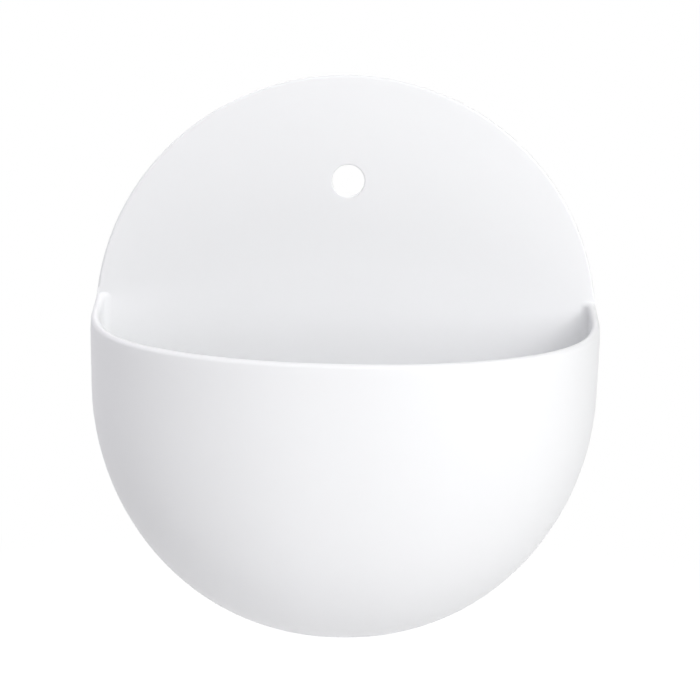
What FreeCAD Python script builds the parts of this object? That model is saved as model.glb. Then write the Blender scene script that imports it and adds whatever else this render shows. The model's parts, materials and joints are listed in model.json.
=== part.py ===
import FreeCAD, Part
import math
import os
import Sketcher
from FreeCAD import Vector

# Wall planter: a flat capsule-shaped back plate with one hanging hole, a half-bowl pocket
# seated on its lower front, a rubber stopper in the pocket's drain and four wall pads.
#
# The part stands as it hangs: +Z up, the front towards -Y, +X to the right. The origin is
# where the hanging hole's axis leaves the back face of the plate. Every piece is built
# round the centre of the plate's outline and then lowered by the height of the hole.

# name, millimetres (exponents are plain numbers), what it is
SIZES = [
    ("end_radius", 100.0, "radius of the outline's round top and bottom, half its width"),
    ("straight_length", 20.0, "straight side between the two round ends"),
    ("plate_thickness", 3.2, "back plate"),
    ("plate_edge_round", 1.1, "rounding of the plate's front edge above the pocket"),
    ("plate_back_break", 0.8, "chamfer of the plate's back edge"),
    ("hole_diameter", 12.7, "hanging hole"),
    ("hole_height", 69.0, "hanging hole above the outline's centre"),
    ("hole_edge_break", 0.5, "chamfer of the hole's front edge"),
    ("rim_height", 18.5, "pocket's rim above the outline's centre"),
    ("pocket_depth", 88.0, "pocket in front of the plate"),
    ("wall_thickness", 3.2, "pocket's wall"),
    ("lip_round", 1.45, "rounding of the rim's two edges"),
    ("plan_side", 0.34, "share of the depth over which the plan leaves the plate straight"),
    ("plan_shoulder", 0.86, "share of the half width that holds the plan's two shoulders"),
    ("plan_front", 1.044, "share of the depth that holds the plan's two shoulders"),
    ("front_exponent", 3.8, "how long the pocket's front stays upright below the rim"),
    ("under_exponent", 2.6, "fullness of the pocket's underside seen from the side"),
    ("underside_lift", 1.0, "flat of the pocket's underside above the outline's lowest point"),
    ("cove_radius", 2.8, "cove between the pocket's wall and the plate"),
    ("cove_share", 0.3, "most of a level's half width that the cove's foot may take"),
    ("drain_reach", 12.5, "drain's axis in front of the plate"),
    ("drain_diameter", 8.0, "drain hole"),
    ("drain_boss_diameter", 17.0, "thickened ring round the drain, inside the pocket"),
    ("drain_boss_rise", 2.0, "thickened ring above the inside floor"),
    ("plug_head_diameter", 12.0, "stopper's head"),
    ("plug_head_thickness", 1.6, "stopper's head"),
    ("plug_head_sink", 0.2, "head below the surface of the underside's flat"),
    ("plug_stem_taper", 0.25, "narrowing of the stem's radius towards its tip"),
    ("plug_stem_extra", 2.0, "stem above the thickened ring"),
    ("plug_edge_break", 0.5, "chamfer of the stopper's edges"),
    ("plug_gap", 0.1, "between stopper and pocket, all round"),
    ("pad_diameter", 12.0, "wall pad"),
    ("pad_thickness", 1.5, "wall pad"),
    ("pad_edge_break", 0.6, "chamfer of a wall pad's rim"),
    ("pad_spacing_x", 120.0, "between the left and right wall pads"),
    ("pad_spacing_z", 130.0, "between the upper and lower wall pads"),
]

ARC_SECTIONS = 20     # level curves over the round part of the pocket
LIP_STEPS = 3         # steps over each rounded edge of the rim
BEHIND = 1.0          # the pocket's forms start this far behind the plate's face
STEP = 0.01           # tolerance for picking edges and faces by their place

doc = FreeCAD.newDocument("wall_planter")

sheet = doc.addObject("Spreadsheet::Sheet", "sizes")
for row, (name, value, note) in enumerate(SIZES, start=1):
    sheet.set("A%d" % row, name)
    sheet.set("B%d" % row, str(value))
    sheet.setAlias("B%d" % row, name)
    sheet.set("C%d" % row, note)
doc.recompute()


def size(name):
    """A driving size, read from the sheet."""
    return float(sheet.get(name))


# ---------------------------------------------------------------- sketch helpers

def add_sketch(body, name, role, lift=None):
    """A sketch on one of the body's own planes, lifted along the plane's normal."""
    sketch = body.newObject("Sketcher::SketchObject", name)
    plane = [feature for feature in body.Origin.OriginFeatures if feature.Role == role][0]
    sketch.AttachmentSupport = [(plane, "")]
    sketch.MapMode = "FlatFace"
    if lift:
        sketch.setExpression("AttachmentOffset.Base.z", lift)
    return sketch


def constrain(sketch, *definition, expression=None):
    """Add one constraint, bound to an expression where one is given."""
    index = sketch.addConstraint(Sketcher.Constraint(*definition))
    if expression:
        sketch.setExpression("Constraints[%d]" % index, expression)
    return index


def add_circle(sketch, x, z, radius, x_expression, z_expression, diameter_expression):
    """A circle whose centre lies at x and z from the sketch's origin."""
    circle = sketch.addGeometry(Part.Circle(Vector(x, z, 0), Vector(0, 0, 1), radius), False)
    constrain(sketch, "Diameter", circle, 2 * radius, expression=diameter_expression)
    if x_expression is None:
        constrain(sketch, "PointOnObject", circle, 3, -2)
    elif x > 0:
        constrain(sketch, "DistanceX", -1, 1, circle, 3, x, expression=x_expression)
    else:
        constrain(sketch, "DistanceX", circle, 3, -1, 1, -x, expression=x_expression)
    if z > 0:
        constrain(sketch, "DistanceY", -1, 1, circle, 3, z, expression=z_expression)
    else:
        constrain(sketch, "DistanceY", circle, 3, -1, 1, -z, expression=z_expression)
    return circle


def add_capsule(sketch, inset=None, top_level=None):
    """The plate's outline, drawn inside it by inset, whole or cut off at top_level.

    Two round ends are joined by straight sides. With a top_level, the upper end keeps
    only its two shoulders and a level chord closes them.
    """
    radius = size("end_radius")
    if inset:
        radius -= sum(size(term) for term in inset)
    half = size("straight_length") / 2
    radius_expression = " - ".join(["sizes.end_radius"] + ["sizes." + term for term in inset or []])
    half_expression = "sizes.straight_length / 2"
    normal = Vector(0, 0, 1)
    upper = Part.Circle(Vector(0, half, 0), normal, radius)
    lower = Part.Circle(Vector(0, -half, 0), normal, radius)

    bottom = sketch.addGeometry(Part.ArcOfCircle(lower, math.pi, 2 * math.pi), False)
    right = sketch.addGeometry(Part.LineSegment(Vector(radius, -half, 0), Vector(radius, half, 0)), False)
    left = sketch.addGeometry(Part.LineSegment(Vector(-radius, half, 0), Vector(-radius, -half, 0)), False)
    constrain(sketch, "PointOnObject", bottom, 3, -2)
    constrain(sketch, "DistanceY", bottom, 3, -1, 1, half, expression=half_expression)
    constrain(sketch, "Radius", bottom, radius, expression=radius_expression)
    constrain(sketch, "Tangent", bottom, 2, right, 1)
    constrain(sketch, "Tangent", left, 2, bottom, 1)
    constrain(sketch, "Vertical", right)
    constrain(sketch, "Vertical", left)

    if top_level is None:
        top = sketch.addGeometry(Part.ArcOfCircle(upper, 0, math.pi), False)
        constrain(sketch, "Tangent", right, 2, top, 1)
        constrain(sketch, "Tangent", top, 2, left, 1)
        constrain(sketch, "DistanceY", -1, 1, top, 3, half, expression=half_expression)
        return

    level, level_expression = top_level
    shoulder = math.asin((level - half) / radius)
    reach = radius * math.cos(shoulder)
    right_top = sketch.addGeometry(Part.ArcOfCircle(upper, 0, shoulder), False)
    left_top = sketch.addGeometry(Part.ArcOfCircle(upper, math.pi - shoulder, math.pi), False)
    chord = sketch.addGeometry(Part.LineSegment(Vector(reach, level, 0), Vector(-reach, level, 0)), False)
    constrain(sketch, "Tangent", right, 2, right_top, 1)
    constrain(sketch, "Tangent", left_top, 2, left, 1)
    constrain(sketch, "Coincident", right_top, 3, left_top, 3)
    constrain(sketch, "DistanceY", -1, 1, right_top, 3, half, expression=half_expression)
    constrain(sketch, "Coincident", right_top, 2, chord, 1)
    constrain(sketch, "Coincident", chord, 2, left_top, 1)
    constrain(sketch, "Horizontal", chord)
    constrain(sketch, "DistanceY", -1, 1, chord, 1, level, expression=level_expression)


def add_rectangle(sketch, left, right, low, high, expressions):
    """A rectangle about the vertical axis; expressions give its width, low and high edges."""
    corners = [Vector(left, low, 0), Vector(right, low, 0), Vector(right, high, 0), Vector(left, high, 0)]
    sides = []
    for index in range(4):
        line = Part.LineSegment(corners[index], corners[(index + 1) % 4])
        sides.append(sketch.addGeometry(line, False))
    for index in range(4):
        constrain(sketch, "Coincident", sides[index], 2, sides[(index + 1) % 4], 1)
    constrain(sketch, "Horizontal", sides[2])
    constrain(sketch, "Vertical", sides[1])
    constrain(sketch, "Vertical", sides[3])
    constrain(sketch, "Symmetric", sides[0], 1, sides[0], 2, -2)
    width_expression, low_expression, high_expression = expressions
    constrain(sketch, "DistanceX", sides[0], 1, sides[0], 2, right - left, expression=width_expression)
    for side, level, expression in ((sides[0], low, low_expression), (sides[2], high, high_expression)):
        if level > 0:
            constrain(sketch, "DistanceY", -1, 1, side, 1, level, expression=expression)
        else:
            constrain(sketch, "DistanceY", side, 1, -1, 1, -level, expression=expression)


def add_feature(body, kind, name, profile=None, length=None, reverse=False):
    """A feature of the body, with its profile, its bound length and its direction."""
    feature = body.newObject(kind, name)
    if profile is not None:
        feature.Profile = profile
    if length:
        feature.setExpression("Length", length)
    if reverse:
        feature.Reversed = True
    doc.recompute()
    return feature


def break_edges(body, name, picked, expression):
    """Chamfer the edges of the body's last feature that picked accepts."""
    base = body.Tip
    names = []
    for index, edge in enumerate(base.Shape.Edges, start=1):
        if picked(edge):
            names.append("Edge%d" % index)
    chamfer = body.newObject("PartDesign::Chamfer", name)
    chamfer.Base = (base, names)
    chamfer.setExpression("Size", expression)
    doc.recompute()
    return chamfer


def lies_at(edge, axis, value):
    """Whether the whole edge lies at one value along an axis."""
    box = edge.BoundBox
    low, high = (box.XMin, box.XMax) if axis == "x" else (box.YMin, box.YMax)
    if axis == "z":
        low, high = box.ZMin, box.ZMax
    return abs(low - value) < STEP and abs(high - value) < STEP


# ---------------------------------------------------------------- back plate

plate = doc.addObject("PartDesign::Body", "back_plate")
plate.Label = "back_plate"

outline = add_sketch(plate, "plate_outline", "XZ_Plane")
add_capsule(outline)
slab = add_feature(plate, "PartDesign::Pad", "plate_slab", outline, "sizes.plate_thickness")

# Its front edge is rounded in three flats: one at 45 degrees, then one on each side of it.
thickness = size("plate_thickness")
flat_depth = size("plate_edge_round") * 0.7
break_edges(plate, "plate_front_flat", lambda edge: lies_at(edge, "y", -thickness),
            "sizes.plate_edge_round * 0.7")
break_edges(plate, "plate_front_round",
            lambda edge: lies_at(edge, "y", -thickness) or lies_at(edge, "y", -thickness + flat_depth),
            "sizes.plate_edge_round * 0.3")

# Below the rim the plate keeps a square front edge, so that the pocket sits flush on it.
land_outline = add_sketch(plate, "pocket_land_outline", "XZ_Plane", "sizes.plate_thickness / 2")
add_capsule(land_outline, top_level=(size("rim_height"), "sizes.rim_height"))
add_feature(plate, "PartDesign::Pad", "pocket_land", land_outline, "sizes.plate_thickness / 2")

# The back edge is broken all the way round.
break_edges(plate, "plate_back_chamfer", lambda edge: lies_at(edge, "y", 0),
            "sizes.plate_back_break")

hole_outline = add_sketch(plate, "hanging_hole_outline", "XZ_Plane")
add_circle(hole_outline, 0, size("hole_height"), size("hole_diameter") / 2,
           None, "sizes.hole_height", "sizes.hole_diameter")
before_hole = plate.Shape.Volume
add_feature(plate, "PartDesign::Pocket", "hanging_hole", hole_outline, "sizes.plate_thickness",
            reverse=True)
hole_volume = math.pi * size("hole_diameter") ** 2 / 4 * thickness
print("hanging hole removed", round(before_hole - plate.Shape.Volume, 2), "of", round(hole_volume, 2))


def is_hole_mouth(edge):
    """Whether the edge is the hanging hole's front edge."""
    centre = Vector(0, -thickness, size("hole_height"))
    return lies_at(edge, "y", -thickness) and edge.BoundBox.Center.distanceToPoint(centre) < STEP


break_edges(plate, "hole_front_chamfer", is_hole_mouth, "sizes.hole_edge_break")
plate.setExpression("Placement.Base.z", "-sizes.hole_height")


# ---------------------------------------------------------------- pocket shell

def pocket_half_width(level, radius):
    """Half the pocket's width at a level, which follows the plate's outline."""
    beyond = max(abs(level) - size("straight_length") / 2, 0)
    return math.sqrt(max(radius ** 2 - beyond ** 2, 0))


def pocket_reach(level, radius, depth):
    """How far the pocket stands in front of the plate at a level."""
    top = size("rim_height")
    fall = (top - level) / (top + size("straight_length") / 2 + radius)
    return depth * (1 - fall ** size("front_exponent")) ** (1 / size("under_exponent"))


def level_curve(level, radius, depth, cove):
    """One level of the pocket: a full curve in front of the plate, closed behind its face.

    Six poles hold the curve: two on the plate's face, two straight in front of those, so
    that the wall leaves the plate square to it, and two that carry the shoulders. With a
    cove, the curve ends short of the plate and two hollow corners lead down to its face.
    """
    width = pocket_half_width(level, radius)
    reach = pocket_reach(level, radius, depth)
    half = [
        (width, 0),
        (width, reach * size("plan_side")),
        (width * size("plan_shoulder"), reach * size("plan_front")),
    ]
    poles = [Vector(across, -thickness - ahead, level) for across, ahead in half]
    poles += [Vector(-pole.x, pole.y, level) for pole in reversed(poles)]
    curve = Part.BSplineCurve()
    curve.buildFromPolesMultsKnots(poles, [4, 1, 1, 4], [0, 1, 2, 3], False, 3)
    edges = [curve]
    foot = width
    if cove:
        # the cove is measured square to the round outline, so its foot widens lower down
        foot = max(pocket_half_width(level, radius - cove), width * (1 - size("cove_share")))
        start = curve.parameter(Vector(width, -thickness - cove, level))
        curve.segment(start, curve.LastParameter - start)
        corners = []
        for side, end in ((1, curve.StartPoint), (-1, curve.EndPoint)):
            corner = Part.BezierCurve()
            corner.setPoles([Vector(side * foot, -thickness, level), Vector(end.x, -thickness, level), end])
            corners.append(corner)
        edges = [corners[0], curve, corners[1]]
    toes = [Vector(side * foot, -thickness, level) for side in (1, -1)]
    heels = [toe + Vector(0, BEHIND, 0) for toe in toes]
    closing = [(toes[1], heels[1]), (heels[1], heels[0]), (heels[0], toes[0])]
    edges += [Part.LineSegment(*ends) for ends in closing]
    return Part.Wire([edge.toShape() for edge in edges])


def pocket_form(inset, lip_turn, cove):
    """The solid inside the pocket's surface, or inside its wall where inset is the wall.

    lip_turn is 1 where the rim's edge rounds inwards, and -1 where it rounds outwards.
    """
    radius = size("end_radius") - inset
    depth = size("pocket_depth") - inset
    half = size("straight_length") / 2
    lip = size("lip_round")
    sections = []
    for step in range(LIP_STEPS, -1, -1):
        turn = math.pi / 2 * step / LIP_STEPS
        draw_in = lip_turn * lip * (1 - math.cos(turn))
        level = size("rim_height") - lip * (1 - math.sin(turn))
        sections.append(level_curve(level, radius - draw_in, depth - draw_in, cove))
    levels = [half, -half]
    last = math.asin(1 - size("underside_lift") / radius)
    for index in range(1, ARC_SECTIONS):
        # the turns shorten towards the underside's flat, where the front turns under
        share = index / (ARC_SECTIONS - 1)
        turn = last * (share + math.sin(math.pi / 2 * share)) / 2
        levels.append(-half - radius * math.sin(turn))
    sections += [level_curve(level, radius, depth, cove) for level in levels]
    return Part.makeLoft(sections, True, True, False)


outer_form = doc.addObject("Part::Feature", "pocket_outer_form")
outer_form.Shape = pocket_form(0, 1, 0)
inner_form = doc.addObject("Part::Feature", "pocket_inner_form")
inner_form.Shape = pocket_form(size("wall_thickness"), -1, size("cove_radius"))

hollow = doc.addObject("Part::Cut", "pocket_hollow")
hollow.Base = outer_form
hollow.Tool = inner_form

# Everything behind the plate's face is cut off flush.
behind = doc.addObject("Part::Box", "behind_plate_face")
behind.setExpression("Length", "4 * sizes.end_radius")
behind.setExpression("Width", "sizes.end_radius")
behind.setExpression("Height", "4 * sizes.end_radius")
behind.setExpression("Placement.Base.x", "-2 * sizes.end_radius")
behind.setExpression("Placement.Base.y", "-sizes.plate_thickness")
behind.setExpression("Placement.Base.z", "-2 * sizes.end_radius")
bowl = doc.addObject("Part::Cut", "pocket_bowl")
bowl.Base = hollow
bowl.Tool = behind
doc.recompute()

UNDERSIDE = "-(sizes.end_radius + sizes.straight_length / 2 - sizes.underside_lift)"
DRAIN_Y = "-(sizes.plate_thickness + sizes.drain_reach)"


def drain_cylinder(name, radius, height):
    """An upright cylinder on the drain's axis that starts at the underside's flat."""
    cylinder = doc.addObject("Part::Cylinder", name)
    cylinder.setExpression("Radius", radius)
    cylinder.setExpression("Height", height)
    cylinder.setExpression("Placement.Base.y", DRAIN_Y)
    cylinder.setExpression("Placement.Base.z", UNDERSIDE)
    return cylinder


boss = drain_cylinder("drain_boss", "sizes.drain_boss_diameter / 2",
                      "sizes.wall_thickness + sizes.drain_boss_rise")
recess = drain_cylinder("plug_recess", "sizes.plug_head_diameter / 2 + sizes.plug_gap",
                        "sizes.plug_head_sink + sizes.plug_head_thickness + sizes.plug_gap")
bore = drain_cylinder("drain_bore", "sizes.drain_diameter / 2",
                      "sizes.wall_thickness + sizes.drain_boss_rise")

bossed = doc.addObject("Part::Fuse", "pocket_with_boss")
bossed.Base = bowl
bossed.Tool = boss
recessed = doc.addObject("Part::Cut", "pocket_with_recess")
recessed.Base = bossed
recessed.Tool = recess
shell = doc.addObject("Part::Cut", "pocket_shell")
shell.Label = "pocket_shell"
shell.Base = recessed
shell.Tool = bore
shell.setExpression("Placement.Base.z", "-sizes.hole_height")
doc.recompute()


# ---------------------------------------------------------------- drain stopper

plug = doc.addObject("PartDesign::Body", "drain_plug")
plug.Label = "drain_plug"
profile = add_sketch(plug, "plug_profile", "XZ_Plane")

head_radius = size("plug_head_diameter") / 2
head_top = size("plug_head_thickness")
stem_radius = size("drain_diameter") / 2 - size("plug_gap")
tip_radius = stem_radius - size("plug_stem_taper")
web = size("wall_thickness") + size("drain_boss_rise") - size("plug_head_sink")
tip_level = web + size("plug_stem_extra")
corners = [
    Vector(0, 0, 0),
    Vector(head_radius, 0, 0),
    Vector(head_radius, head_top, 0),
    Vector(stem_radius, head_top, 0),
    Vector(tip_radius, tip_level, 0),
    Vector(0, tip_level, 0),
]
lines = []
for index in range(len(corners)):
    line = Part.LineSegment(corners[index], corners[(index + 1) % len(corners)])
    lines.append(profile.addGeometry(line, False))
for index in range(len(lines)):
    constrain(profile, "Coincident", lines[index], 2, lines[(index + 1) % len(lines)], 1)
constrain(profile, "Coincident", lines[0], 1, -1, 1)
constrain(profile, "Horizontal", lines[0])
constrain(profile, "Vertical", lines[1])
constrain(profile, "Horizontal", lines[2])
constrain(profile, "Horizontal", lines[4])
constrain(profile, "Vertical", lines[5])
constrain(profile, "DistanceX", lines[0], 1, lines[0], 2, head_radius,
          expression="sizes.plug_head_diameter / 2")
constrain(profile, "DistanceY", lines[1], 1, lines[1], 2, head_top,
          expression="sizes.plug_head_thickness")
constrain(profile, "DistanceX", -1, 1, lines[3], 1, stem_radius,
          expression="sizes.drain_diameter / 2 - sizes.plug_gap")
constrain(profile, "DistanceX", -1, 1, lines[3], 2, tip_radius,
          expression="sizes.drain_diameter / 2 - sizes.plug_gap - sizes.plug_stem_taper")
constrain(profile, "DistanceY", -1, 1, lines[3], 2, tip_level,
          expression="sizes.wall_thickness + sizes.drain_boss_rise - sizes.plug_head_sink"
                     " + sizes.plug_stem_extra")
doc.recompute()

turned = plug.newObject("PartDesign::Revolution", "plug_turned")
turned.Profile = profile
turned.ReferenceAxis = (profile, ["V_Axis"])
turned.Angle = 360
doc.recompute()


def is_plug_edge(edge):
    """Whether the edge is the head's lower rim or the stem's tip."""
    box = edge.BoundBox
    if box.ZLength > STEP:
        return False
    is_rim = box.XLength > 2 * head_radius - STEP and abs(box.ZMin) < STEP
    return is_rim or abs(box.ZMin - tip_level) < STEP


break_edges(plug, "plug_chamfer", is_plug_edge, "sizes.plug_edge_break")
plug.setExpression("Placement.Base.y", DRAIN_Y)
plug.setExpression("Placement.Base.z", UNDERSIDE + " + sizes.plug_head_sink - sizes.hole_height")


# ---------------------------------------------------------------- wall pads

pads = doc.addObject("PartDesign::Body", "wall_pads")
pads.Label = "wall_pads"
pads.AllowCompound = True
pad_outline = add_sketch(pads, "pad_outline", "XZ_Plane")
for x_side in (-1, 1):
    for z_side in (-1, 1):
        add_circle(pad_outline, x_side * size("pad_spacing_x") / 2, z_side * size("pad_spacing_z") / 2,
                   size("pad_diameter") / 2, "sizes.pad_spacing_x / 2", "sizes.pad_spacing_z / 2",
                   "sizes.pad_diameter")
add_feature(pads, "PartDesign::Pad", "pad_discs", pad_outline, "sizes.pad_thickness", reverse=True)
break_edges(pads, "pad_chamfer", lambda edge: lies_at(edge, "y", size("pad_thickness")),
            "sizes.pad_edge_break")
pads.setExpression("Placement.Base.z", "-sizes.hole_height")
doc.recompute()


# ---------------------------------------------------------------- checks and files

NODES = [plate, shell, plug, pads]
for item in doc.Objects:
    for word in ("Invalid", "Error"):
        if word in item.State:
            raise RuntimeError("%s is %s" % (item.Name, word))
for node in NODES:
    if node.Shape.isNull() or not node.Shape.isValid():
        raise RuntimeError("%s has no valid shape" % node.Label)

os.makedirs("parts", exist_ok=True)
for node in NODES:
    node.Shape.exportStep("parts/%s.step" % node.Label)
    box = node.Shape.BoundBox
    print("%-14s solids %d  volume %.0f  x %.2f %.2f  y %.2f %.2f  z %.2f %.2f" % (
        node.Label, len(node.Shape.Solids), node.Shape.Volume,
        box.XMin, box.XMax, box.YMin, box.YMax, box.ZMin, box.ZMax))
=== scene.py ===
"""Wall planter: a capsule-shaped back plate with a half-bowl pocket, in satin white."""

import json
import math

import bmesh
import bpy
from bpy.props import FloatProperty, FloatVectorProperty, IntProperty, PointerProperty
from mathutils import Matrix, Vector


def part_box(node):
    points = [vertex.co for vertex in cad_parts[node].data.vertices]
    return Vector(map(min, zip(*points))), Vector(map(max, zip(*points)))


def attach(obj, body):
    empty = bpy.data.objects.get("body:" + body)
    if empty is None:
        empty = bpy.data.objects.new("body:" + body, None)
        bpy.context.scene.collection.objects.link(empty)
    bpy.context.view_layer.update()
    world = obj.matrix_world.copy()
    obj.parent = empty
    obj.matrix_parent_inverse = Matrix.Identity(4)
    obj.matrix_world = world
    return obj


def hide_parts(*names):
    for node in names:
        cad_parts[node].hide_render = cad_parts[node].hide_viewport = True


bl_info = {
    "name": "Wall planter",
    "version": (1, 0, 0),
    "blender": (4, 5, 0),
    "location": "View3D > Sidebar > Planter",
    "description": "Builds the surfaces, finishes and stage of a half-bowl wall planter",
    "category": "Add Mesh",
}

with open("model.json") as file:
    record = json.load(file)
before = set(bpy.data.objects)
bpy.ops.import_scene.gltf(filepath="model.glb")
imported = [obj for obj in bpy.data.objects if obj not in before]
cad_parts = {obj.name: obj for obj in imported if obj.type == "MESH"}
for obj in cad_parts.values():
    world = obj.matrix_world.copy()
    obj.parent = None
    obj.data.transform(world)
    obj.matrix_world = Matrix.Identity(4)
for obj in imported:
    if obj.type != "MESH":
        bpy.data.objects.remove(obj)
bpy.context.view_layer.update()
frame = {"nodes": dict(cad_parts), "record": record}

PLATE_LOW, PLATE_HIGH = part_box("back_plate")
SHELL_LOW, SHELL_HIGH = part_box("pocket_shell")
PLUG_LOW, PLUG_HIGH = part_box("drain_plug")
PADS_LOW, PADS_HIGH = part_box("wall_pads")

PLATE_HEIGHT = PLATE_HIGH[2] - PLATE_LOW[2]
PLATE_WIDTH = PLATE_HIGH[0] - PLATE_LOW[0]

SAME_PLACE = 1e-6                   # points closer than this are one point
NEAR = 1e-5                         # how far a point may lie off the circle that it belongs to
SHARP_ANGLE = math.radians(35)      # edges that turn more than this are shaded sharp
CORNER_ANGLE = math.radians(30)     # outward edges of the rubber that turn more are rounded
SQUARE_MARGIN = 0.1                 # how far off square, in radians, an edge may be

LIP_STEPS = 8                       # steps over the rim's lip
UPRIGHT_SHARE = 0.25                # share of a side's rows above the round part of the outline
COVE_SHARE = 0.04                   # share of a row that each of its two coves takes
COVE_FADE = 4                       # coves shrink where the pocket reaches less than this many
COVE_LIMIT = 0.9                    # largest share of the pocket's reach that a cove may take
SWEEP_FADE = 2.5                    # how fast the rim's sweep fades away from the plate
SWEEP_DEPTH = 4                     # the sweep fades out this many times its rise below the rim
OUTLINE_STEPS = 192                 # steps round the plate's outline and round its hole
OUTLINE_MARGIN = 0.0005             # how far below the rim's ends the plate's rounding may start
TURN_STEPS = 48                     # steps round the drain, the stopper and a pad

HOLLOW_SHARE = 0.8                  # width of the hollow in the stopper's head, by the stem's
STEM_STRAIGHT = 0.7                 # share of the stopper's height where its stem starts to narrow
STEM_TIP = 0.936                    # width of the stem's tip, by the stem's
PAD_TAPER = 0.94                    # width of a pad's face on the wall, by the face on the plate

LAMP_DISTANCE = 1.1                 # from each lamp to the point that it faces, in metres
LAMP_POINT_AHEAD = 0.03             # how far in front of the plate's back that point lies
FLOOR_REACH = 4                     # half the side of the floor, in metres
FLOOR_SQUARES = 8                   # faces along each side of the floor

PLASTIC_IOR = 1.46                  # how strongly the moulded surfaces bend light
SKIN_HEIGHT = 0.0001                # height of the skin's unevenness in a bump, in metres
NOISE_MIDDLE = 0.5                  # a noise runs from 0 to 1 about this
RIPPLE_SCALE = 55.0                 # scale of the slow ripple, about its waves in a metre
RIPPLE_SHARE = 2.5                  # height of the ripple, by the fine grain's
DUST_FACING = 0.6                   # how far up a surface has to face before dust lies on it
DUST_COLOUR = (0.62, 0.6, 0.57, 1)  # a faintly warm grey

# Name, the setting with its power, degrees right of the front and up, width and height in
# metres, and whether the lamp has the left side's tint.
LAMPS = [
    ("right_lamp", "right_power", 45, 20, 0.7, 0.7, False),
    ("wide_lamp", "wide_power", 54, 35, 1.1, 0.6, False),
    ("left_lamp", "left_power", -110, 45, 0.6, 0.9, True),
    ("fill_lamp", "fill_power", -35, 20, 0.9, 0.9, True),
    ("low_lamp", "low_power", 20, 5, 0.9, 0.6, False),
    ("front_lamp", "front_power", 0, 45, 0.9, 0.9, False),
    ("back_lamp", "back_power", 180, 20, 0.9, 0.9, False),
]


# ------------------------------------------------------------------ settings

class PlanterSizes(bpy.types.PropertyGroup):
    """Sizes of the planter, in metres."""

    end_radius: FloatProperty(
        name="End radius", description="Radius of the outline's round top and bottom",
        default=PLATE_WIDTH / 2, unit="LENGTH")
    straight_length: FloatProperty(
        name="Straight side", description="Straight side between the two round ends",
        default=PLATE_HEIGHT - PLATE_WIDTH, unit="LENGTH")
    centre_level: FloatProperty(
        name="Centre level", description="Level of the outline's centre, from the hanging hole",
        default=(PLATE_LOW[2] + PLATE_HIGH[2]) / 2, unit="LENGTH")
    plate_thickness: FloatProperty(
        name="Plate thickness", description="Thickness of the back plate",
        default=0.0032, unit="LENGTH")
    plate_edge_round: FloatProperty(
        name="Plate edge", description="Rounding of the plate's free edges",
        default=0.0011, unit="LENGTH")
    hole_diameter: FloatProperty(
        name="Hanging hole", description="Diameter of the hanging hole",
        default=0.0127, unit="LENGTH")
    hole_edge_round: FloatProperty(
        name="Hole edge", description="Rounding of the hanging hole's front edge",
        default=0.0005, unit="LENGTH")
    wall: FloatProperty(
        name="Wall", description="Thickness of the pocket's wall",
        default=0.0032, unit="LENGTH")
    cove: FloatProperty(
        name="Cove", description="Radius of the cove where the pocket's wall meets the plate",
        default=0.0028, unit="LENGTH")
    plan_exponent: FloatProperty(
        name="Plan fullness", description="Fullness of the pocket seen from above",
        default=2.3)
    corner_fullness: FloatProperty(
        name="Corner fullness", description="How much fuller the pocket's front corners are",
        default=0.18)
    corner_turn: FloatProperty(
        name="Corner place", description="Where the front corners lie, turned from the sides",
        default=math.radians(32), unit="ROTATION")
    corner_spread: FloatProperty(
        name="Corner spread", description="How far a front corner reaches round the pocket",
        default=math.radians(24), unit="ROTATION")
    rim_rise: FloatProperty(
        name="Rim rise", description="How far the rim sweeps up where it runs into the plate",
        default=0.0042, unit="LENGTH")
    rim_sweep: FloatProperty(
        name="Rim sweep", description="Length of the rim's sweep, in front of the plate",
        default=0.016, unit="LENGTH")
    front_exponent: FloatProperty(
        name="Front fullness", description="How long the front stays upright below the rim",
        default=3.8)
    under_exponent: FloatProperty(
        name="Underside fullness", description="Fullness of the underside seen from the side",
        default=2.6)
    drain_diameter: FloatProperty(
        name="Drain", description="Diameter of the drain hole", default=0.008, unit="LENGTH")
    drain_recess: FloatProperty(
        name="Drain recess", description="Depth of the recess for the stopper's head",
        default=0.0019, unit="LENGTH")
    drain_ring: FloatProperty(
        name="Drain ring", description="Diameter of the thickened ring round the drain",
        default=0.017, unit="LENGTH")
    drain_rise: FloatProperty(
        name="Drain ring rise", description="Height of the thickened ring",
        default=0.002, unit="LENGTH")
    stopper_gap: FloatProperty(
        name="Stopper gap", description="Room between the stopper and the drain",
        default=0.0001, unit="LENGTH")
    stopper_head: FloatProperty(
        name="Stopper head", description="Thickness of the stopper's head",
        default=0.0016, unit="LENGTH")
    stopper_dimple: FloatProperty(
        name="Stopper dimple", description="Depth of the hollow in the stopper's head",
        default=0.0003, unit="LENGTH")
    rubber_round: FloatProperty(
        name="Rubber edges", description="Rounding of the stopper's and the pads' edges",
        default=0.00035, unit="LENGTH")
    around: IntProperty(
        name="Steps around", description="Faces across the pocket", default=112)
    down: IntProperty(
        name="Steps down", description="Faces down each side of the pocket's wall", default=56)


class PlanterColours(bpy.types.PropertyGroup):
    """Colours and finishes of the planter and the stage."""

    body: FloatVectorProperty(
        name="Planter", description="Colour of the moulded planter",
        default=(0.86, 0.865, 0.872), subtype="COLOR", size=3)
    roughness: FloatProperty(
        name="Planter roughness", description="Roughness of the satin surface",
        default=0.5, subtype="FACTOR")
    rubber: FloatVectorProperty(
        name="Rubber", description="Colour of the stopper and the wall pads",
        default=(0.66, 0.67, 0.67), subtype="COLOR", size=3)
    rubber_roughness: FloatProperty(
        name="Rubber roughness", description="Roughness of the rubber",
        default=0.62, subtype="FACTOR")
    floor: FloatVectorProperty(
        name="Floor", description="Colour of the floor",
        default=(0.9, 0.9, 0.9), subtype="COLOR", size=3)


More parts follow.
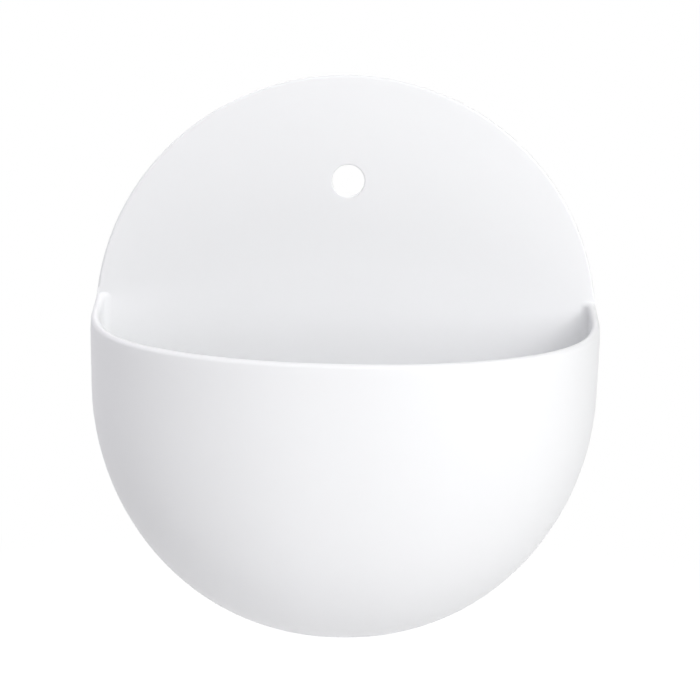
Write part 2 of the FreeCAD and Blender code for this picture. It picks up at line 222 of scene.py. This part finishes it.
class PlanterStage(bpy.types.PropertyGroup):
    """Camera and lamps."""

    lens: FloatProperty(
        name="Lens", description="Focal length of the camera", default=83.24, unit="CAMERA")
    frame_width: FloatProperty(
        name="Frame", description="Width of the camera's frame", default=36, unit="CAMERA")
    distance: FloatProperty(
        name="Distance", description="Camera to the plate's face", default=0.65, unit="LENGTH")
    elevation: FloatProperty(
        name="Elevation", description="Camera above the horizon", default=math.radians(14.8),
        unit="ROTATION")
    roll: FloatProperty(
        name="Roll", description="Clockwise lean of the picture", default=math.radians(1.174),
        unit="ROTATION")
    aim_side: FloatProperty(
        name="Aim side", description="How far right of the planter's middle the camera looks",
        default=0.002, unit="LENGTH")
    aim_rise: FloatProperty(
        name="Aim rise", description="How far above the planter's middle the camera looks",
        default=0.00074, unit="LENGTH")
    right_power: FloatProperty(
        name="Right lamp", description="Watts of the lamp on the right", default=4.35)
    wide_power: FloatProperty(
        name="Wide lamp", description="Watts of the wide lamp high on the right", default=4.7)
    left_power: FloatProperty(
        name="Left lamp", description="Watts of the tall lamp behind and above the left side",
        default=5.3)
    fill_power: FloatProperty(
        name="Fill lamp", description="Watts of the lamp on the left of the camera", default=2.7)
    low_power: FloatProperty(
        name="Low lamp", description="Watts of the low lamp beside the camera", default=1.1)
    front_power: FloatProperty(
        name="Front lamp", description="Watts of the lamp above the camera", default=3.2)
    back_power: FloatProperty(
        name="Back lamp", description="Watts of the lamp that lights the planter's back",
        default=4.5)
    floor_level: FloatProperty(
        name="Floor level", description="Level of the floor, from the hanging hole",
        default=PLATE_LOW[2] - 0.25, unit="LENGTH")
    room_light: FloatProperty(
        name="Room light", description="Strength of the room's even light", default=0.02)
    left_tint: FloatVectorProperty(
        name="Left tint", description="Slightly cool colour of the lamps on the left",
        default=(1.0, 0.985, 1.035), subtype="COLOR", size=3, min=0, max=2)


# ------------------------------------------------------------------ shader groups

def new_group(name, inputs, outputs):
    """An empty shader node group with the named sockets, and its two end nodes."""
    group = bpy.data.node_groups.new(name, "ShaderNodeTree")
    for label, kind, default in inputs:
        socket = group.interface.new_socket(name=label, in_out="INPUT", socket_type=kind)
        socket.default_value = default
    for label, kind in outputs:
        group.interface.new_socket(name=label, in_out="OUTPUT", socket_type=kind)
    return group, group.nodes.new("NodeGroupInput"), group.nodes.new("NodeGroupOutput")


def feed(tree, socket, value):
    """Link another node's output to a socket, or set a constant on it."""
    if isinstance(value, bpy.types.NodeSocket):
        tree.links.new(value, socket)
    else:
        socket.default_value = value


def maths(tree, operation, *values):
    """The result of a maths node on sockets and constants."""
    node = tree.nodes.new("ShaderNodeMath")
    node.operation = operation
    for socket, value in zip(node.inputs, values):
        feed(tree, socket, value)
    return node.outputs[0]


def ranged(tree, value, start, stop, to_start=0.0, to_stop=1.0, ease="LINEAR"):
    """A value's place between start and stop, spread from to_start to to_stop."""
    node = tree.nodes.new("ShaderNodeMapRange")
    node.interpolation_type = ease
    for label, amount in (("Value", value), ("From Min", start), ("From Max", stop),
                          ("To Min", to_start), ("To Max", to_stop)):
        feed(tree, node.inputs[label], amount)
    return node.outputs[0]


def noise(tree, place, scale, detail):
    """A soft noise from 0 to 1 over the piece."""
    node = tree.nodes.new("ShaderNodeTexNoise")
    feed(tree, node.inputs["Vector"], place)
    feed(tree, node.inputs["Scale"], scale)
    feed(tree, node.inputs["Detail"], detail)
    return node.outputs["Fac"]


def build_surface_tone():
    """Slow, faint change of tone, with a little dust where the surface faces up."""
    group, start, end = new_group(
        "surface_tone",
        [("Colour", "NodeSocketColor", (0.8, 0.8, 0.8, 1)),
         ("Spread", "NodeSocketFloat", 0.02),
         ("Size", "NodeSocketFloat", 12.0),
         ("Dust", "NodeSocketFloat", 0.03)],
        [("Colour", "NodeSocketColor")])
    place = group.nodes.new("ShaderNodeTexCoord").outputs["Object"]
    cloud = noise(group, place, start.outputs["Size"], detail=2.0)
    swing = maths(group, "SUBTRACT", cloud, NOISE_MIDDLE)
    toned = group.nodes.new("ShaderNodeVectorMath")
    toned.operation = "SCALE"
    feed(group, toned.inputs[0], start.outputs["Colour"])
    feed(group, toned.inputs["Scale"],
         maths(group, "MULTIPLY_ADD", swing, start.outputs["Spread"], 1.0))

    facing = group.nodes.new("ShaderNodeSeparateXYZ")
    feed(group, facing.inputs[0], group.nodes.new("ShaderNodeNewGeometry").outputs["Normal"])
    upward = ranged(group, facing.outputs["Z"], DUST_FACING, 1.0)
    dusty = group.nodes.new("ShaderNodeMix")
    dusty.data_type = "RGBA"
    feed(group, dusty.inputs["Factor"], maths(group, "MULTIPLY", upward, start.outputs["Dust"]))
    feed(group, dusty.inputs["A"], toned.outputs[0])
    feed(group, dusty.inputs["B"], DUST_COLOUR)
    feed(group, end.inputs["Colour"], dusty.outputs["Result"])
    return group


def build_satin_skin():
    """Fine unevenness of a moulded skin: a height for a bump and an uneven roughness."""
    group, start, end = new_group(
        "satin_skin",
        [("Roughness", "NodeSocketFloat", 0.4),
         ("Unevenness", "NodeSocketFloat", 0.04),
         ("Grain", "NodeSocketFloat", 900.0)],
        [("Height", "NodeSocketFloat"), ("Roughness", "NodeSocketFloat")])
    place = group.nodes.new("ShaderNodeTexCoord").outputs["Object"]
    grain = noise(group, place, start.outputs["Grain"], detail=3.0)
    ripple = noise(group, place, RIPPLE_SCALE, detail=1.0)
    feed(group, end.inputs["Height"], maths(group, "MULTIPLY_ADD", ripple, RIPPLE_SHARE, grain))
    swing = maths(group, "SUBTRACT", ripple, NOISE_MIDDLE)
    feed(group, end.inputs["Roughness"],
         maths(group, "MULTIPLY_ADD", swing, start.outputs["Unevenness"],
               start.outputs["Roughness"]))
    return group


def shared_group(name, build):
    """The named shader group, built the first time it is asked for."""
    return bpy.data.node_groups.get(name) or build()


def moulded_material(name, colour, roughness, spread, dust, grain, bump):
    """A moulded surface: toned colour, uneven satin roughness and a fine skin."""
    known = bpy.data.materials.get(name)
    if known:
        return known
    material = bpy.data.materials.new(name)
    material.use_nodes = True
    tree = material.node_tree
    surface = tree.nodes["Principled BSDF"]
    surface.inputs["IOR"].default_value = PLASTIC_IOR

    tone = tree.nodes.new("ShaderNodeGroup")
    tone.node_tree = shared_group("surface_tone", build_surface_tone)
    tone.inputs["Colour"].default_value = (*colour, 1)
    tone.inputs["Spread"].default_value = spread
    tone.inputs["Dust"].default_value = dust
    feed(tree, surface.inputs["Base Color"], tone.outputs["Colour"])

    skin = tree.nodes.new("ShaderNodeGroup")
    skin.node_tree = shared_group("satin_skin", build_satin_skin)
    skin.inputs["Roughness"].default_value = roughness
    skin.inputs["Grain"].default_value = grain
    feed(tree, surface.inputs["Roughness"], skin.outputs["Roughness"])
    raised = tree.nodes.new("ShaderNodeBump")
    raised.inputs["Strength"].default_value = bump
    raised.inputs["Distance"].default_value = SKIN_HEIGHT
    feed(tree, raised.inputs["Height"], skin.outputs["Height"])
    feed(tree, surface.inputs["Normal"], raised.outputs["Normal"])
    return material


def planter_white(scene):
    """The satin white of the plate and the pocket."""
    colours = scene.planter_colours
    return moulded_material("satin_white", colours.body, colours.roughness,
                            spread=0.02, dust=0.04, grain=900, bump=0.12)


def rubber(scene):
    """The pale rubber of the stopper and the pads."""
    colours = scene.planter_colours
    return moulded_material("pale_rubber", colours.rubber, colours.rubber_roughness,
                            spread=0.05, dust=0.1, grain=1600, bump=0.35)


# ------------------------------------------------------------------ mesh helpers

def finish_piece(mesh_data, name, material, nodes):
    """Turn a bmesh into a smooth-shaded piece that stands for the named nodes."""
    mesh = bpy.data.meshes.new(name)
    mesh_data.to_mesh(mesh)
    mesh_data.free()
    for polygon in mesh.polygons:
        polygon.use_smooth = True
    mesh.set_sharp_from_angle(angle=SHARP_ANGLE)
    mesh.materials.append(material)
    piece = bpy.data.objects.new(name, mesh)
    bpy.context.scene.collection.objects.link(piece)
    shading = piece.modifiers.new("even_shading", "WEIGHTED_NORMAL")
    shading.keep_sharp = True
    shading.weight = 80
    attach(piece, body_with(nodes[0]))
    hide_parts(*nodes)
    return piece


def body_with(node):
    """The name of the body that a node of the frame belongs to."""
    for body, members in frame["record"]["behaviour"]["bodies"].items():
        if node in members:
            return body
    raise RuntimeError("no body holds " + node)


def ring_between(mesh, outer, inner):
    """Fill the flat region between two closed loops of edges."""
    filled = bmesh.ops.triangle_fill(mesh, use_beauty=True, use_dissolve=False,
                                     edges=outer + inner)
    if not filled["geom"]:
        raise RuntimeError("a flat region was not filled")


def round_edges(mesh, edges, size, segments):
    """Round edges by the given size, in that many steps."""
    bmesh.ops.bevel(mesh, geom=edges, offset=size, offset_type="OFFSET", affect="EDGES",
                    segments=segments, profile=0.5, material=-1)


def turned(mesh, profile, base, along, side=None):
    """Turn a profile of radius and height round an axis that starts at a base point."""
    if side is None:
        side = along.orthogonal().normalized()
    line = [mesh.verts.new(base + radius * side + height * along) for radius, height in profile]
    links = [mesh.edges.new(pair) for pair in zip(line, line[1:])]
    bmesh.ops.spin(mesh, geom=line + links, cent=base, axis=along, dvec=(0, 0, 0),
                   angle=2 * math.pi, steps=TURN_STEPS, use_merge=True)


def open_circle(mesh, axis, radius, level):
    """The open edges of a turned shape that lie on one circle round its upright axis."""
    return [edge for edge in mesh.edges
            if edge.is_boundary and all(abs((v.co - axis).xy.length - radius) < NEAR
                                        and abs(v.co.z - level) < SAME_PLACE for v in edge.verts)]


def stopper_axis():
    """The point on the stopper's upright axis at the level of the hanging hole."""
    return Vector(((PLUG_LOW[0] + PLUG_HIGH[0]) / 2, (PLUG_LOW[1] + PLUG_HIGH[1]) / 2, 0))


def stopper_head_radius():
    """The radius of the stopper's head."""
    return (PLUG_HIGH[0] - PLUG_LOW[0]) / 2


# ------------------------------------------------------------------ pocket

def pocket_half_width(sizes, level, inset):
    """Half the pocket's width at a level measured from the outline's centre."""
    radius = sizes.end_radius - inset
    beyond = max(abs(level) - sizes.straight_length / 2, 0)
    return math.sqrt(max(radius ** 2 - beyond ** 2, 0))


def pocket_reach(sizes, level, inset, rim, depth):
    """How far the pocket stands in front of the plate at a level."""
    lowest = sizes.straight_length / 2 + sizes.end_radius - inset
    fall = min(max((rim - level) / (rim + lowest), 0), 1)
    return (depth - inset) * (1 - fall ** sizes.front_exponent) ** (1 / sizes.under_exponent)


def pocket_stations(sizes, rim, lift):
    """Inset and level of each row: up the outside, over the lip and down the inside."""
    half = sizes.straight_length / 2
    lip = sizes.wall / 2
    top = rim - lip
    rows = []
    for inset in (0, sizes.wall):
        radius = sizes.end_radius - inset
        last = math.asin(1 - lift / radius)
        side = []
        for step in range(sizes.down + 1):
            part = step / sizes.down
            if part < UPRIGHT_SHARE:
                side.append((inset, top + (-half - top) * part / UPRIGHT_SHARE))
            else:
                turn = (part - UPRIGHT_SHARE) / (1 - UPRIGHT_SHARE)
                angle = last * math.sin(math.pi / 2 * turn)
                side.append((inset, -half - radius * math.sin(angle)))
        rows.append(side)
    over = []
    for step in range(1, LIP_STEPS):
        angle = math.pi * step / LIP_STEPS
        over.append((lip - lip * math.cos(angle), top + lip * math.sin(angle)))
    return rows[0][::-1] + over + rows[1]


def pocket_point(sizes, across, inset, level, rim, depth):
    """A point on the pocket's wall; across runs from 0 at the right edge to 1 at the left."""
    reach = pocket_reach(sizes, min(level, rim), inset, rim, depth)
    face = -sizes.plate_thickness
    cove = sizes.cove * min(inset / sizes.wall, 1) * min(1, reach / (COVE_FADE * sizes.cove))
    side = 1 if across <= 0.5 else -1
    part = across if across <= 0.5 else 1 - across
    if part < COVE_SHARE:
        # the cove between wall and plate, which is a straight run on the outer side
        angle = math.pi / 2 * part / COVE_SHARE
        ahead = sizes.cove * (1 - math.cos(angle))
        fullness = corner_exponent(sizes, math.atan2(ahead, reach))
        over = (1 - min(1, ahead / reach) ** fullness) ** (1 / fullness)
        hollow = cove * (1 - math.sin(angle))
    else:
        start = math.asin(min(sizes.cove / reach, COVE_LIMIT))
        angle = start + (math.pi / 2 - start) * (part - COVE_SHARE) / (0.5 - COVE_SHARE)
        over, ahead = max(math.cos(angle), 0), max(math.sin(angle), 0)
        fullness = corner_exponent(sizes, angle)
        stretch = (over ** fullness + ahead ** fullness) ** (1 / fullness)
        over, ahead, hollow = over / stretch, reach * ahead / stretch, 0
    swept = level + rim_lift(sizes, ahead, level, rim)
    width = pocket_half_width(sizes, swept, inset)
    return Vector((side * (width * over - hollow), face - ahead, swept + sizes.centre_level))


def corner_exponent(sizes, angle):
    """How full the pocket is seen from above, which is fullest at its front corners."""
    off = (angle - sizes.corner_turn) / sizes.corner_spread
    return sizes.plan_exponent + sizes.corner_fullness * math.exp(-off * off)


def rim_lift(sizes, ahead, level, rim):
    """How far the wall's top rises near the plate, fading out down the wall."""
    near = max(1 - ahead / sizes.rim_sweep, 0) ** SWEEP_FADE
    high = min(max(1 - (rim - level) / (SWEEP_DEPTH * sizes.rim_rise), 0), 1)
    return sizes.rim_rise * near * high


def chord(mesh, row):
    """Join the two ends of a row along the plate and return the whole closed loop."""
    first, last = row[0], row[-1]
    edges = [mesh.edges.get((row[i], row[i + 1])) for i in range(len(row) - 1)]
    return edges + [mesh.edges.new((first, last))]


def build_drain(mesh, sizes, outside, inside):
    """Turn the drain's recess, hole and thickened ring, and return its two open circles."""
    axis = stopper_axis()
    head = stopper_head_radius() + sizes.stopper_gap
    bore, ring, rise = sizes.drain_diameter / 2, sizes.drain_ring / 2, sizes.drain_rise
    shelf = outside + sizes.drain_recess
    # the ring's top corner is cut off by a quarter of its rise
    profile = [(head, outside), (head, shelf), (bore, shelf), (bore, inside + rise),
               (ring - rise / 4, inside + rise), (ring, inside + rise * 3 / 4), (ring, inside)]
    turned(mesh, profile, axis, Vector((0, 0, 1)), Vector((1, 0, 0)))
    bmesh.ops.remove_doubles(mesh, verts=mesh.verts, dist=SAME_PLACE)
    return open_circle(mesh, axis, head, outside), open_circle(mesh, axis, ring, inside)


def build_pocket(sizes):
    """The half-bowl with its lip, cove, flat underside and drain, as one closed skin."""
    rim = SHELL_HIGH[2] - sizes.centre_level
    depth = -SHELL_LOW[1] - sizes.plate_thickness
    lift = SHELL_LOW[2] - (sizes.centre_level - sizes.straight_length / 2 - sizes.end_radius)
    stations = pocket_stations(sizes, rim, lift)
    mesh = bmesh.new()
    bmesh.ops.create_grid(mesh, x_segments=sizes.around, y_segments=len(stations) - 1, size=0.5)
    rows = {}
    for vertex in mesh.verts:
        row = round((vertex.co.y + 0.5) * (len(stations) - 1))
        column = vertex.co.x + 0.5
        rows.setdefault(row, []).append((column, vertex))
    for row, members in rows.items():
        inset, level = stations[row]
        for column, vertex in members:
            vertex.co = pocket_point(sizes, column, inset, level, rim, depth)
    under, floor = ([vertex for column, vertex in sorted(rows[row], key=lambda item: item[0])]
                    for row in (0, len(stations) - 1))
    recess, ring = build_drain(mesh, sizes, under[0].co.z, floor[0].co.z)
    under_loop, floor_loop = chord(mesh, under), chord(mesh, floor)
    ring_between(mesh, under_loop, recess)
    ring_between(mesh, floor_loop, ring)
    # what is still open is the foot, where the wall's two skins end on the plate
    rest = [edge for edge in mesh.edges if edge.is_boundary]
    ring_between(mesh, rest, [])
    bmesh.ops.recalc_face_normals(mesh, faces=mesh.faces)
    return mesh


# ------------------------------------------------------------------ back plate

def flat_circle(mesh, radius):
    """A circle of loose edges, turned by half a step so that its widest points are edges."""
    verts = bmesh.ops.create_circle(mesh, cap_ends=False, segments=OUTLINE_STEPS,
                                    radius=radius)["verts"]
    bmesh.ops.rotate(mesh, verts=verts, cent=(0, 0, 0),
                     matrix=Matrix.Rotation(math.pi / OUTLINE_STEPS, 3, "Z"))
    return verts


def square_edges(mesh):
    """The edges along the plate's front and back faces where its sides stand square to them."""
    return [edge for edge in mesh.edges
            if abs(edge.verts[0].co.y - edge.verts[1].co.y) < SAME_PLACE
            and len(edge.link_faces) == 2
            and abs(edge.calc_face_angle(0) - math.pi / 2) < SQUARE_MARGIN]


def build_plate(sizes):
    """The flat plate: a capsule outline bridged to its hanging hole and given thickness."""
    mesh = bmesh.new()
    outer = flat_circle(mesh, sizes.end_radius)
    for vertex in outer:
        vertex.co.y += math.copysign(sizes.straight_length / 2, vertex.co.y)
    inner = flat_circle(mesh, sizes.hole_diameter / 2)
    bmesh.ops.translate(mesh, verts=inner, vec=(0, -sizes.centre_level, 0))
    bmesh.ops.bridge_loops(mesh, edges=mesh.edges[:])
    stand = Matrix.Translation((0, 0, sizes.centre_level)) @ Matrix.Rotation(math.pi / 2, 4, "X")
    bmesh.ops.transform(mesh, matrix=stand, verts=mesh.verts)
    front = bmesh.ops.extrude_face_region(mesh, geom=mesh.faces[:])
    moved = [item for item in front["geom"] if isinstance(item, bmesh.types.BMVert)]
    bmesh.ops.translate(mesh, verts=moved, vec=(0, -sizes.plate_thickness, 0))
    bmesh.ops.recalc_face_normals(mesh, faces=mesh.faces)

    # The pocket covers the front edge up to the ends of its rim, so that part stays square.
    covered = SHELL_HIGH[2] + sizes.rim_rise - OUTLINE_MARGIN
    free, mouth = [], []
    for edge in square_edges(mesh):
        at_hole = all(abs(vertex.co.xz.length - sizes.hole_diameter / 2) < NEAR
                      for vertex in edge.verts)
        on_front = edge.verts[0].co.y < -sizes.plate_thickness / 2
        if at_hole and on_front:
            mouth.append(edge)
        elif not at_hole and (not on_front or min(v.co.z for v in edge.verts) > covered):
            free.append(edge)
    round_edges(mesh, free, sizes.plate_edge_round, segments=4)
    mouth = [edge for edge in mouth if edge.is_valid]
    round_edges(mesh, mouth, sizes.hole_edge_round, segments=3)
    return mesh


# ------------------------------------------------------------------ rubber pieces

def rounded(mesh, size):
    """Close turned shapes at their poles, face them outwards and round their outward edges."""
    bmesh.ops.remove_doubles(mesh, verts=mesh.verts, dist=SAME_PLACE)
    bmesh.ops.recalc_face_normals(mesh, faces=mesh.faces)
    sharp = [edge for edge in mesh.edges if edge.calc_face_angle_signed(0) > CORNER_ANGLE]
    round_edges(mesh, sharp, size, segments=3)
    return mesh


def build_stopper(sizes):
    """The stopper: a head with a shallow hollow below, and a stem that narrows to its tip."""
    base = stopper_axis()
    base.z = PLUG_LOW[2]
    head, height = stopper_head_radius(), PLUG_HIGH[2] - PLUG_LOW[2]
    stem = sizes.drain_diameter / 2 - sizes.stopper_gap
    hollow = sizes.stopper_dimple
    mesh = bmesh.new()
    turned(mesh, [(0, hollow), (stem * HOLLOW_SHARE, hollow), (stem, 0), (head, 0),
                  (head, sizes.stopper_head), (stem, sizes.stopper_head),
                  (stem, height * STEM_STRAIGHT), (stem * STEM_TIP, height), (0, height)],
           base, Vector((0, 0, 1)))
    return rounded(mesh, sizes.rubber_round)


def pad_places():
    """The middle, to the micrometre, and the radius of each pad of the frame's node."""
    copy = bmesh.new()
    copy.from_mesh(frame["nodes"]["wall_pads"].data)
    bmesh.ops.remove_doubles(copy, verts=copy.verts, dist=SAME_PLACE)
    left, places = set(copy.verts), []
    while left:
        found, ring = set(), [next(iter(left))]
        while ring:
            vertex = ring.pop()
            if vertex not in found:
                found.add(vertex)
                ring += [edge.other_vert(vertex) for edge in vertex.link_edges]
        left -= found
        across = [vertex.co.x for vertex in found]
        up = [vertex.co.z for vertex in found]
        places.append((round((min(across) + max(across)) / 2, 6),
                       round((min(up) + max(up)) / 2, 6),
                       (max(across) - min(across)) / 2))
    copy.free()
    return sorted(places)


def build_pads(sizes):
    """Four bumpers on the plate's back, each a low disc that narrows towards the wall."""
    mesh = bmesh.new()
    thickness = PADS_HIGH[1] - PADS_LOW[1]
    for across, up, radius in pad_places():
        turned(mesh, [(0, 0), (radius, 0), (radius * PAD_TAPER, thickness), (0, thickness)],
               Vector((across, PADS_LOW[1], up)), Vector((0, 1, 0)))
    return rounded(mesh, sizes.rubber_round)


# ------------------------------------------------------------------ operators

class PLANTER_OT_pocket(bpy.types.Operator):
    """Build the half-bowl pocket."""

    bl_idname = "planter.pocket"
    bl_label = "Pocket"

    def execute(self, context):
        scene = context.scene
        finish_piece(build_pocket(scene.planter_sizes), "pocket", planter_white(scene),
                     ["pocket_shell"])
        return {"FINISHED"}


class PLANTER_OT_back_plate(bpy.types.Operator):
    """Build the back plate with its hanging hole."""

    bl_idname = "planter.back_plate"
    bl_label = "Back plate"

    def execute(self, context):
        scene = context.scene
        finish_piece(build_plate(scene.planter_sizes), "plate", planter_white(scene),
                     ["back_plate"])
        return {"FINISHED"}


class PLANTER_OT_stopper(bpy.types.Operator):
    """Build the rubber stopper under the pocket."""

    bl_idname = "planter.stopper"
    bl_label = "Drain stopper"

    def execute(self, context):
        scene = context.scene
        finish_piece(build_stopper(scene.planter_sizes), "stopper", rubber(scene),
                     ["drain_plug"])
        return {"FINISHED"}


class PLANTER_OT_pads(bpy.types.Operator):
    """Build the rubber pads on the back."""

    bl_idname = "planter.pads"
    bl_label = "Wall pads"

    def execute(self, context):
        scene = context.scene
        finish_piece(build_pads(scene.planter_sizes), "pads", rubber(scene),
                     ["wall_pads"])
        return {"FINISHED"}


def add_lamp(name, middle, azimuth, elevation, width, height, power):
    """A soft rectangular lamp that faces the middle."""
    light = bpy.data.lights.new(name, "AREA")
    light.shape = "RECTANGLE"
    light.size = width
    light.size_y = height
    light.energy = power
    level, turn = math.radians(elevation), math.radians(azimuth)
    away = Vector((math.sin(turn) * math.cos(level), -math.cos(turn) * math.cos(level),
                   math.sin(level)))
    lamp = bpy.data.objects.new(name, light)
    lamp.location = middle + LAMP_DISTANCE * away
    lamp.rotation_euler = away.to_track_quat("Z", "Y").to_euler()
    bpy.context.scene.collection.objects.link(lamp)
    return light


class PLANTER_OT_stage(bpy.types.Operator):
    """Set the camera, the lamps, the room's light and the floor."""

    bl_idname = "planter.stage"
    bl_label = "Stage"

    def execute(self, context):
        scene = context.scene
        stage = scene.planter_stage
        sizes = scene.planter_sizes
        target = Vector((stage.aim_side, -sizes.plate_thickness,
                         sizes.centre_level + stage.aim_rise))

        camera = bpy.data.objects.new("camera", bpy.data.cameras.new("camera"))
        camera.data.lens = stage.lens
        camera.data.sensor_width = stage.frame_width
        away = Vector((0, -math.cos(stage.elevation), math.sin(stage.elevation)))
        camera.location = target + stage.distance * away
        aim = away.to_track_quat("Z", "Y").to_matrix()
        camera.rotation_euler = (aim @ Matrix.Rotation(stage.roll, 3, "Z")).to_euler()
        scene.collection.objects.link(camera)
        scene.camera = camera

        middle = Vector((0, -LAMP_POINT_AHEAD, sizes.centre_level))
        for name, power, azimuth, elevation, width, height, tinted in LAMPS:
            lamp = add_lamp(name, middle, azimuth, elevation, width, height,
                            getattr(stage, power))
            if tinted:
                lamp.color = stage.left_tint

        world = bpy.data.worlds.new("room")
        world.use_nodes = True
        tree = world.node_tree
        background = tree.nodes["Background"]
        background.inputs["Color"].default_value = (1, 1, 1, 1)
        feed(tree, background.inputs["Strength"],
             ranged(tree, seen_directly(tree), 0.0, 1.0, stage.room_light, 1.0))
        scene.world = world

        mesh = bmesh.new()
        bmesh.ops.create_grid(mesh, x_segments=FLOOR_SQUARES, y_segments=FLOOR_SQUARES,
                              size=FLOOR_REACH)
        bmesh.ops.translate(mesh, verts=mesh.verts, vec=(0, 0, stage.floor_level))
        floor_mesh = bpy.data.meshes.new("floor")
        mesh.to_mesh(floor_mesh)
        mesh.free()
        floor = bpy.data.objects.new("floor", floor_mesh)
        floor_mesh.materials.append(floor_material(scene))
        scene.collection.objects.link(floor)

        scene.view_settings.view_transform = "Standard"
        return {"FINISHED"}


def seen_directly(tree):
    """1 for a ray from the camera or through a reflection or glass, and 0 for light on its way."""
    path = tree.nodes.new("ShaderNodeLightPath")
    seen = path.outputs["Is Camera Ray"]
    for other in ("Is Glossy Ray", "Is Transmission Ray"):
        seen = maths(tree, "MAXIMUM", seen, path.outputs[other])
    return seen


def floor_material(scene):
    """A pale floor that is seen as white, and shows the planter's soft shadow below it."""
    near, far = 0.2, 0.75       # metres from the point below the hole, where the shadow fades
    white_share = 0.6           # share of plain white in the floor near that point
    glow = 1.38                 # how bright the white is there, to make up for the darker rest
    material = bpy.data.materials.new("pale_floor")
    material.use_nodes = True
    tree = material.node_tree
    surface = tree.nodes["Principled BSDF"]
    surface.inputs["Base Color"].default_value = (*scene.planter_colours.floor, 1)
    surface.inputs["Roughness"].default_value = 0.8

    place = tree.nodes.new("ShaderNodeTexCoord")
    centred = tree.nodes.new("ShaderNodeMapping")
    centred.inputs["Location"].default_value = (0, 0, -scene.planter_stage.floor_level)
    feed(tree, centred.inputs["Vector"], place.outputs["Object"])
    distance = tree.nodes.new("ShaderNodeVectorMath")
    distance.operation = "LENGTH"
    feed(tree, distance.inputs[0], centred.outputs[0])
    share = ranged(tree, distance.outputs["Value"], near, far, white_share, 1.0, ease="SMOOTHSTEP")
    white = tree.nodes.new("ShaderNodeEmission")
    feed(tree, white.inputs["Strength"], ranged(tree, share, white_share, 1.0, glow, 1.0))

    mix = tree.nodes.new("ShaderNodeMixShader")
    feed(tree, mix.inputs[0], maths(tree, "MULTIPLY", seen_directly(tree), share))
    tree.links.new(surface.outputs[0], mix.inputs[1])
    tree.links.new(white.outputs[0], mix.inputs[2])
    tree.links.new(mix.outputs[0], tree.nodes["Material Output"].inputs["Surface"])
    return material


class PLANTER_PT_panel(bpy.types.Panel):
    """The planter's pieces and its stage."""

    bl_label = "Wall planter"
    bl_idname = "PLANTER_PT_panel"
    bl_space_type = "VIEW_3D"
    bl_region_type = "UI"
    bl_category = "Planter"

    def draw(self, context):
        layout = self.layout
        for operator in PIECES:
            layout.operator(operator.bl_idname)
        for settings in (context.scene.planter_sizes, context.scene.planter_colours,
                         context.scene.planter_stage):
            column = layout.column(align=True)
            for name in settings.__annotations__:
                column.prop(settings, name)


SETTINGS = [
    ("planter_sizes", PlanterSizes),
    ("planter_colours", PlanterColours),
    ("planter_stage", PlanterStage),
]
PIECES = [PLANTER_OT_back_plate, PLANTER_OT_pocket, PLANTER_OT_stopper, PLANTER_OT_pads,
          PLANTER_OT_stage]


def register():
    for name, group in SETTINGS:
        bpy.utils.register_class(group)
        setattr(bpy.types.Scene, name, PointerProperty(type=group))
    for item in PIECES + [PLANTER_PT_panel]:
        bpy.utils.register_class(item)


def unregister():
    for item in reversed(PIECES + [PLANTER_PT_panel]):
        bpy.utils.unregister_class(item)
    for name, group in reversed(SETTINGS):
        delattr(bpy.types.Scene, name)
        bpy.utils.unregister_class(group)


def main():
    """Build every piece and the stage."""
    register()
    bpy.ops.planter.back_plate()
    bpy.ops.planter.pocket()
    bpy.ops.planter.stopper()
    bpy.ops.planter.pads()
    bpy.ops.planter.stage()


if __name__ == "__main__":
    main()
